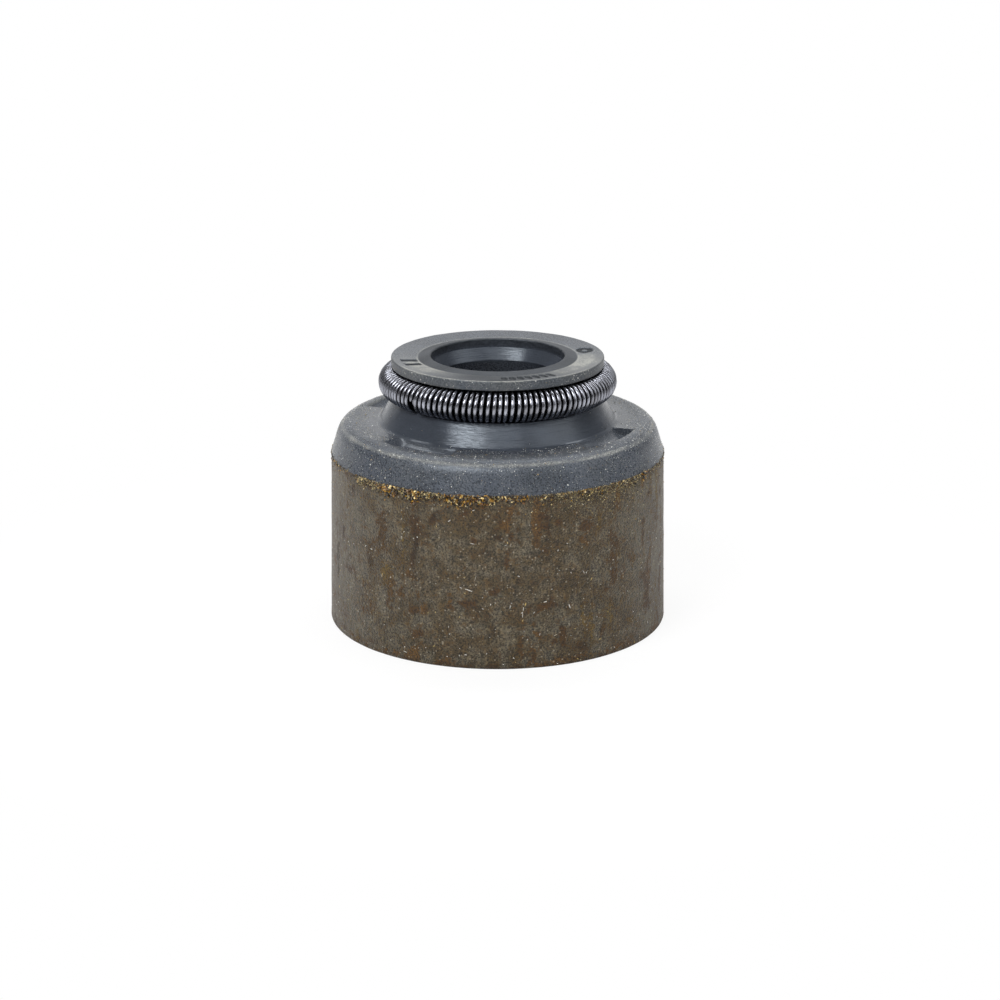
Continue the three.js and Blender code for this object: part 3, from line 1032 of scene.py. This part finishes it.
        # Painted sheen: paler on the flange's left and right, fainter towards the back.
        lit = 0.05 + 1.3 * bell(degrees, 66, 24) + 1.15 * bell(degrees, -56, 20)
        lit = lit * (1 - 0.7 * smooth(np.abs(degrees), 100, 125))
        inner = 1 - smooth(radius, rim - 0.7, rim - 0.3)
        lit = 0.05 + (lit - 0.05) * (0.35 + 0.65 * inner)
        # Painted highlight along the bead's foot.
        lit = lit + 0.6 * bell(radius, bead_foot + 0.05, 0.05) * head.flat
        # Painted highlight along the front of the rim.
        lit = lit + 1.2 * head.edge * bell(degrees, -8, 48)
        return lit * np.maximum(head.flat, head.edge)

    def marks(self, turn, radius):
        """Mould marks in the flange: two bars, an oval and a row of slots, from 0 to 1."""
        degrees = np.degrees(turn)
        mark = np.zeros(radius.shape)
        for middle, ring in ((-78.0, 4.29), (-67.7, 4.30)):
            across = np.abs(np.radians(degrees - middle) * radius)
            along = np.abs(radius - ring)
            bar = smooth(-across, -0.24, -0.17) * smooth(-along, -0.43, -0.36)
            mark = np.maximum(mark, bar)
        across = np.radians(degrees - 104.7) * radius / 0.46
        along = (radius - 4.34) / 0.38
        oval = np.hypot(across, along)
        hollow = 1 - 0.85 * smooth(-oval, -0.48, -0.3)
        mark = np.maximum(mark, smooth(-oval, -1.14, -0.92) * hollow)
        for middle in np.linspace(4, 34, 7):
            slot = np.hypot(np.radians(degrees - middle) * radius / 0.15, (radius - 4.38) / 0.38)
            mark = np.maximum(mark, smooth(-slot, -1.15, -0.75))
        return mark


class SEAL_OT_spring(SealOperator, bpy.types.Operator):
    """Build the garter spring: one coiled wire whose narrow end is screwed into its other end"""

    bl_idname = "seal.spring"
    bl_label = "Garter Spring"

    steps = 24
    sides = 10

    def execute(self, context):
        seal = context.scene.seal
        section = Section(seal)
        spring = in_mm(seal.spring)
        wire = spring.wire / 2
        total = spring.turns + spring.nib
        turn = np.linspace(0, total, total * self.steps + 1)
        line = self.path(turn, section, spring)
        ahead = self.path(turn + 1e-3, section, spring) - self.path(turn - 1e-3, section, spring)
        ahead /= np.linalg.norm(ahead, axis=1)[:, None]
        outward = self.outward(turn, spring)
        side = np.cross(ahead, outward)
        side /= np.linalg.norm(side, axis=1)[:, None]
        outward = np.cross(side, ahead)
        swell = self.cut_ends(turn, total)
        around = np.linspace(0, 2 * math.pi, self.sides, endpoint=False)
        ring = outward[:, None] * np.cos(around)[:, None] + side[:, None] * np.sin(around)[:, None]
        points = line[:, None] + ring * wire * swell[:, None, None]
        rings = len(turn)
        row, column = np.meshgrid(np.arange(rings - 1), np.arange(self.sides), indexing="ij")
        after = (column + 1) % self.sides
        corners = [(row, column), (row, after), (row + 1, after), (row + 1, column)]
        faces = np.stack([r * self.sides + c for r, c in corners], -1).reshape(-1, 4).tolist()
        last = (rings - 1) * self.sides
        faces.append(list(range(self.sides))[::-1])
        faces.append([last + i for i in range(self.sides)])
        piece = make_piece("spring_coil", points.reshape(-1, 3), faces, 60)
        # Share of painted shade and grime: the wire's sides, which face the next turns, and its inside,
        # which faces the groove.
        gap = np.maximum(smooth(np.abs(np.sin(around)), 0.4, 0.95), smooth(-np.cos(around), 0.0, 0.6))
        store(piece, "gap", np.tile(gap, rings))
        return self.finish(piece, wire_material(seal.spring), "spring_steel", "garter_spring")

    def cut_ends(self, turn, total):
        """Thickness of the wire, which is slightly rounded at both cut ends."""
        away = np.minimum(turn, total - turn) * self.steps
        return 1 - 0.35 * smooth(-away, -1.0, 0.0)

    def ring_angle(self, turn, spring):
        waver = 0.0035 * np.sin(turn * 1.37) + 0.0025 * np.sin(turn * 0.61 + 1.0)
        return spring.joint + 2 * math.pi * turn / spring.turns + waver

    def outward(self, turn, spring):
        """Direction from the middle of the coil to the wire."""
        around = 2 * math.pi * turn
        ring = self.ring_angle(turn, spring)
        return place(np.cos(around), ring, np.sin(around))

    def path(self, turn, section, spring):
        """Middle of the wire, which narrows just before it reaches the other end."""
        full = section.coil - spring.wire / 2
        nib = full - spring.wire - 0.03
        coil = full + (nib - full) * smooth(turn, spring.turns - 0.6, spring.turns + 0.1)
        coil = coil - 0.004 + 0.004 * np.sin(turn * 2.3)
        ring = self.ring_angle(turn, spring)
        middle = place(section.ring + 0 * ring, ring, section.spring_height + 0 * ring)
        return middle + self.outward(turn, spring) * coil[:, None]


def tint_grains(piece, tints, shades, owner):
    """Keeps each grain's colour, made lighter or darker by its shade, with the mesh."""
    tints = np.clip(np.asarray(tints) * shades[:, None], 0, 1)[owner]
    store(piece, "tint", np.concatenate([tints, np.ones((len(tints), 1))], 1))


class SEAL_OT_crust(SealOperator, bpy.types.Operator):
    """Scatter the rust crystals along the rubber's edge"""

    bl_idname = "seal.crust"
    bl_label = "Rust Crust"

    rust_and_shadow_grains = 1200
    strewn_grains = 3000
    # Odds of gold, straw, umber, amber and glint in each kind of crust
    odds = {
        "gold": (0.26, 0.06, 0.5, 0.1, 0.08),
        "straw": (0.06, 0.34, 0.5, 0.04, 0.06),
        # Mostly dark grains for the rubber's edge: dark rust, and a painted shadow along that edge.
        "line": (0.08, 0.16, 0.7, 0.05, 0.01),
        "pale": (0.03, 0.6, 0.26, 0.03, 0.08),
    }

    def execute(self, context):
        seal = context.scene.seal
        crust = seal.crust
        section = Section(seal)
        random = np.random.default_rng(7)
        amber, glint = tone(108, 70, 26), tone(228, 204, 142)
        tones = np.array([tuple(crust.gold), tuple(crust.straw), tuple(crust.umber), amber, glint])
        grains = self.grains(section, crust.grains, random)
        turn, drop, lift, size, picked = np.array(grains).T
        height = section.steel.bare - drop
        over = height - section.steel.bare
        skirt = section.line - math.tan(section.rubber.lean) * over
        radius = np.where(over > 0, skirt, section.sleeve_radius(height))
        points, faces, owner = grains_at(place(radius + lift, turn, height), size, random)
        piece = make_piece("rust_crust", points, faces, 25)
        shades = random.uniform(0.5, 1.25, len(turn))
        tint_grains(piece, tones[picked.astype(int)], shades, owner)
        return self.finish(piece, grain_material("rust_crystals", 0.12), "steel")

    def grains(self, section, total, random):
        """Angle, distance below the line, lift, size and tone of each grain."""
        clumps = [(*clump, 1.6) for clump in CLUMPS]
        for degrees in np.arange(118, 244, 6.4):
            kind = random.choice(["gold", "straw"])
            clumps.append((degrees + random.uniform(-2, 2), random.uniform(0.2, 0.45), kind, 0.7))
        shares = np.array([clump[3] * clump[1] ** 1.5 for clump in clumps])
        clumped = total - self.rust_and_shadow_grains - self.strewn_grains
        shares = np.round(clumped * shares / shares.sum()).astype(int)
        grains = []
        for (degrees, wide, kind, _), number in zip(clumps, shares):
            for _ in range(number):
                turn = math.radians(degrees) + random.normal(0, 0.5 * wide) / section.line
                drop = abs(random.normal(0, 0.46 * wide)) - 0.05
                size = 0.018 + 0.05 * random.beta(1.2, 2.6)
                size *= 1.35 if kind == "gold" else 0.85
                lift = random.uniform(0.2, 1.6) * size
                grains.append((turn, drop, lift, size, random.choice(5, p=self.odds[kind])))
        # Dark grains along the rubber's edge: rust crystals that also paint the shadow under the edge.
        for _ in range(self.rust_and_shadow_grains):
            drop = abs(random.normal(0, 0.13)) - 0.03
            size = random.uniform(0.014, 0.04)
            turn = random.uniform(-math.pi, math.pi)
            grains.append((turn, drop, 0.2 * size, size, random.choice(5, p=self.odds["line"])))
        for _ in range(self.strewn_grains):
            near = random.uniform(0, 1) < 0.62
            turn = math.radians(random.normal(42, 14) if near else random.uniform(-180, 180))
            drop = random.exponential(0.36) - 0.05
            size = random.uniform(0.012, 0.032)
            kind = "pale" if near else "straw"
            grains.append((turn, drop, 0.2 * size, size, random.choice(5, p=self.odds[kind])))
        return grains


class SEAL_OT_flecks(SealOperator, bpy.types.Operator):
    """Scatter lint and metal slivers on the sleeve's wall"""

    bl_idname = "seal.flecks"
    bl_label = "Flecks"

    thickest = 0.022
    reach = 8.1

    def execute(self, context):
        seal = context.scene.seal
        section = Section(seal)
        random = np.random.default_rng(19)
        flecks = [(*fleck, self.thickest) for fleck in FLECKS]
        for _ in range(seal.crust.lint):
            degrees = random.uniform(-180, 180)
            height = self.reach * random.beta(1.1, 1.6)
            long = random.uniform(0.03, 0.14)
            slope = random.uniform(-90, 90)
            flecks.append((degrees, height, long, slope, random.uniform(0.012, self.thickest)))
        degrees, height, long, slope, thick = np.array(flecks).T
        turn = np.radians(degrees)
        radius = section.sleeve_radius(height)
        middle = place(radius + 0.4 * thick, turn, height)
        sideways = np.stack([np.cos(turn), np.sin(turn), 0 * turn], -1)
        slope = np.radians(slope)[:, None]
        along = sideways * np.cos(slope) + np.array([0, 0, 1]) * np.sin(slope)
        out = place(np.ones(len(turn)), turn, np.zeros(len(turn)))
        across = np.cross(out, along)
        axes = np.stack([along, across, out], -1)
        stretch = np.stack([long / 2, thick, thick * 0.7], -1)
        points, faces, owner = grains_at(middle, np.ones(len(turn)), random, axes, stretch)
        piece = make_piece("lint_flecks", points, faces, 25)
        pale = random.choice(3, len(turn), p=(0.66, 0.2, 0.14))
        tints = np.array([tone(214, 210, 200), tone(196, 168, 96), tone(170, 160, 140)])[pale]
        tint_grains(piece, tints, random.uniform(0.6, 1.1, len(turn)), owner)
        return self.finish(piece, grain_material("lint", 0.4), "steel")


class SEAL_OT_dust(SealOperator, bpy.types.Operator):
    """Scatter dust grains on the rubber's skirt, shoulder, ledge and flange"""

    bl_idname = "seal.dust"
    bl_label = "Dust"

    coarse_share = 0.05
    coarse, fine = 0.034, 0.016

    def execute(self, context):
        seal = context.scene.seal
        section = Section(seal)
        random = np.random.default_rng(43)
        level = section.ledge
        side = [section.flange_foot + 0.06, section.flange_top - 0.06]
        side = [(section.flange_radius, high) for high in side]
        outside = np.array(section.shoulder() + side)
        steps = np.linalg.norm(np.diff(outside, axis=0), axis=1)
        middles = (outside[1:] + outside[:-1]) / 2
        dusty = np.where(middles[:, 1] > level + 0.05, 0.12, 1.0)
        dusty = dusty + 1.5 * smooth(middles[:, 1], level - 0.5, level - 0.1) * (dusty > 0.5)
        dusty = dusty * np.where(np.abs(middles[:, 0] - section.neck_foot) < 0.6, 0.35, 1.0)
        dusty[-1], dusty[-2] = 0.9, 0.0
        odds = steps * middles[:, 0] * dusty
        grains = seal.crust.dust
        row = random.choice(len(steps), grains, p=odds / odds.sum())
        part = random.uniform(0, 1, grains)
        radius, height = (outside[row] + (outside[row + 1] - outside[row]) * part[:, None]).T
        turn = random.uniform(-math.pi, math.pi, grains)
        size = np.where(random.uniform(0, 1, grains) < self.coarse_share, self.coarse, self.fine)
        size = size * random.uniform(0.6, 1.1, grains)
        keep = section.pocket_depth(radius, height, turn) < 0.002
        centres = place(radius, turn, height)[keep]
        points, faces, owner = grains_at(centres, size[keep], random)
        piece = make_piece("dust_grains", points, faces, 25)
        pale = random.choice(4, keep.sum(), p=(0.6, 0.2, 0.12, 0.08))
        kinds = (tone(226, 226, 220), tone(180, 180, 176), tone(176, 150, 92), tone(60, 58, 54))
        tint_grains(piece, np.array(kinds)[pale], random.uniform(0.7, 1.1, len(pale)), owner)
        return self.finish(piece, grain_material("dust", 0.5), "rubber")


class SEAL_OT_stage(bpy.types.Operator):
    """Build the floor, the lamps, the white surroundings and the camera"""

    bl_idname = "seal.stage"
    bl_label = "Stage"
    bl_options = {"REGISTER", "UNDO"}

    def execute(self, context):
        settings = context.scene.seal.stage
        self.floor(settings)
        self.lamp("softbox_left", -35, 44, 0.13, (0.074, 0.05), settings.key)
        self.lamp("softbox_right", 66, 36, 0.13, (0.11, 0.11), settings.fill)
        self.lamp("softbox_top", 178, 67, 0.16, (0.26, 0.045), settings.top)
        self.lamp("softbox_front", 9, 46, 0.13, (0.075, 0.06), settings.front)
        self.surroundings(context, settings)
        self.camera(context)
        context.scene.view_settings.view_transform = "Standard"
        return {"FINISHED"}

    def floor(self, settings):
        reach, parts = 1.5, 24
        line = np.linspace(-reach, reach, parts + 1) / MM
        x, y = np.meshgrid(line, line, indexing="ij")
        points = np.stack([x, y, 0 * x], -1).reshape(-1, 3)
        row, column = np.meshgrid(np.arange(parts), np.arange(parts), indexing="ij")
        here = row * (parts + 1) + column
        faces = np.stack([here, here + parts + 1, here + parts + 2, here + 1], -1).reshape(-1, 4)
        floor = make_piece("floor", points, faces)
        material, shader, surface = new_material("white_floor", Roughness=0.9, Specular_IOR_Level=0.1)
        shader.feed(surface["Base Color"], settings.floor)
        glow = shader.add("Emission", {"Color": (1.0, 1.0, 1.0), "Strength": 1.0})
        path = shader.add("LightPath").outputs
        place_on = shader.millimetres((1, 1, 0))
        away = shader.add("VectorMath", {0: place_on}, operation="LENGTH").outputs["Value"]
        seen = shader.math("MAXIMUM", path["Is Camera Ray"], path["Is Transmission Ray"])
        white = shader.math("MULTIPLY", seen, shader.remap(away, 9, 30, 0.86, 1.0))
        mirrored = shader.math("MULTIPLY", path["Is Glossy Ray"], shader.remap(away, 30, 150, 0.15, 1.0))
        blend = shader.add("MixShader", {0: shader.math("MAXIMUM", white, mirrored)})
        nodes = material.node_tree.nodes
        shader.feed(blend.inputs[1], nodes["Principled BSDF"].outputs[0])
        shader.feed(blend.inputs[2], glow.outputs[0])
        shader.feed(nodes["Material Output"].inputs["Surface"], blend.outputs[0])
        floor.data.materials.append(material)

    def lamp(self, name, azimuth, elevation, distance, size, radiance):
        """Oval softbox that faces the seal. Its azimuth runs from the front towards +X."""
        turn, rise = math.radians(azimuth), math.radians(elevation)
        light = bpy.data.lights.new(name, "AREA")
        light.shape = "ELLIPSE"
        light.size, light.size_y = size
        area = math.pi / 4 * size[0] * size[1]
        light.energy = math.pi * radiance * area
        lamp = bpy.data.objects.new(name, light)
        target = Vector((0, 0, 0.006))
        away = Vector((math.sin(turn) * math.cos(rise), -math.cos(turn) * math.cos(rise), math.sin(rise)))
        lamp.location = target + away * distance
        lamp.rotation_mode = "QUATERNION"
        lamp.rotation_quaternion = (-away).to_track_quat("-Z", "Y")
        bpy.context.scene.collection.objects.link(lamp)

    def surroundings(self, context, settings):
        world = bpy.data.worlds.new("white_studio")
        context.scene.world = world
        world.use_nodes = True
        shader = Shader(world.node_tree)
        path = shader.add("LightPath").outputs
        seen = shader.math("MAXIMUM", path["Is Camera Ray"], path["Is Transmission Ray"])
        away = shader.add("SeparateXYZ", {0: shader.add("TexCoord").outputs["Generated"]}).outputs
        behind = shader.remap(away[1], 0.5, 0.95, 0.06, 1.0)
        glossy = shader.math("MULTIPLY", path["Is Glossy Ray"], behind)
        level = shader.math("MAXIMUM", seen, glossy)
        level = shader.math("MAXIMUM", level, settings.ambient)
        surface = world.node_tree.nodes["Background"].inputs
        shader.feed(surface["Color"], (1.0, 1.0, 1.0))
        shader.feed(surface["Strength"], level)

    def camera(self, context):
        """Camera at the photograph's height, angle and framing."""
        rise, distance = math.radians(17.482), 0.12384
        target = Vector((0, 0, 0.005333))
        data = bpy.data.cameras.new("camera")
        data.sensor_width = 36
        data.lens = 91.66
        data.shift_x = 0.0024
        data.shift_y = 0.0067
        data.clip_start = 0.001
        data.clip_end = 10
        data.dof.use_dof = False
        camera = bpy.data.objects.new("camera", data)
        context.scene.collection.objects.link(camera)
        away = Vector((0, -math.cos(rise), math.sin(rise)))
        camera.location = target + away * distance
        camera.rotation_mode = "QUATERNION"
        camera.rotation_quaternion = (-away).to_track_quat("-Z", "Y")
        context.scene.camera = camera


OPERATORS = (
    SEAL_OT_sleeve,
    SEAL_OT_rubber,
    SEAL_OT_spring,
    SEAL_OT_crust,
    SEAL_OT_flecks,
    SEAL_OT_dust,
    SEAL_OT_stage,
)


class SEAL_PT_build(bpy.types.Panel):
    """Lists the seal's pieces and their settings"""

    bl_idname = "SEAL_PT_build"
    bl_label = "Valve Stem Seal"
    bl_space_type = "VIEW_3D"
    bl_region_type = "UI"
    bl_category = "Valve Seal"

    def draw(self, context):
        seal = context.scene.seal
        for operator in OPERATORS:
            self.layout.operator(operator.bl_idname)
        for name in type(seal).__annotations__:
            box = self.layout.box()
            box.label(text=name.title())
            group = getattr(seal, name)
            for setting in type(group).__annotations__:
                box.prop(group, setting)


CLASSES = (
    SealSleeve,
    SealCrust,
    SealRubber,
    SealSpring,
    SealStage,
    SealSettings,
    *OPERATORS,
    SEAL_PT_build,
)


def grains_at(centres, sizes, random, axes=None, stretch=None):
    """Points, faces and owners of crumpled grains, one round each centre, in millimetres."""
    ball = bmesh.new()
    bmesh.ops.create_icosphere(ball, subdivisions=1, radius=1.0)
    corners = np.array([vertex.co[:] for vertex in ball.verts])
    triangles = np.array([[vertex.index for vertex in face.verts] for face in ball.faces])
    ball.free()
    number = len(centres)
    if axes is None:
        axes, _ = np.linalg.qr(random.normal(size=(number, 3, 3)))
        axes[:, :, 0] *= np.sign(np.linalg.det(axes))[:, None]
        stretch = random.uniform(0.45, 1.35, (number, 3))
    crumple = random.uniform(0.65, 1.25, (number, len(corners), 1))
    shapes = corners[None] * crumple * stretch[:, None]
    turned = np.einsum("nij,nkj->nki", axes, shapes) * sizes[:, None, None]
    points = (centres[:, None] + turned).reshape(-1, 3)
    faces = (triangles[None] + np.arange(number)[:, None, None] * len(corners)).reshape(-1, 3)
    return points, faces, np.repeat(np.arange(number), len(corners))


def register():
    for cls in CLASSES:
        bpy.utils.register_class(cls)
    bpy.types.Scene.seal = bpy.props.PointerProperty(type=SealSettings)


def unregister():
    del bpy.types.Scene.seal
    for cls in reversed(CLASSES):
        bpy.utils.unregister_class(cls)


def main():
    register()
    for operator in OPERATORS:
        getattr(bpy.ops.seal, operator.bl_idname.split(".")[1])()


if __name__ == "__main__":
    main()
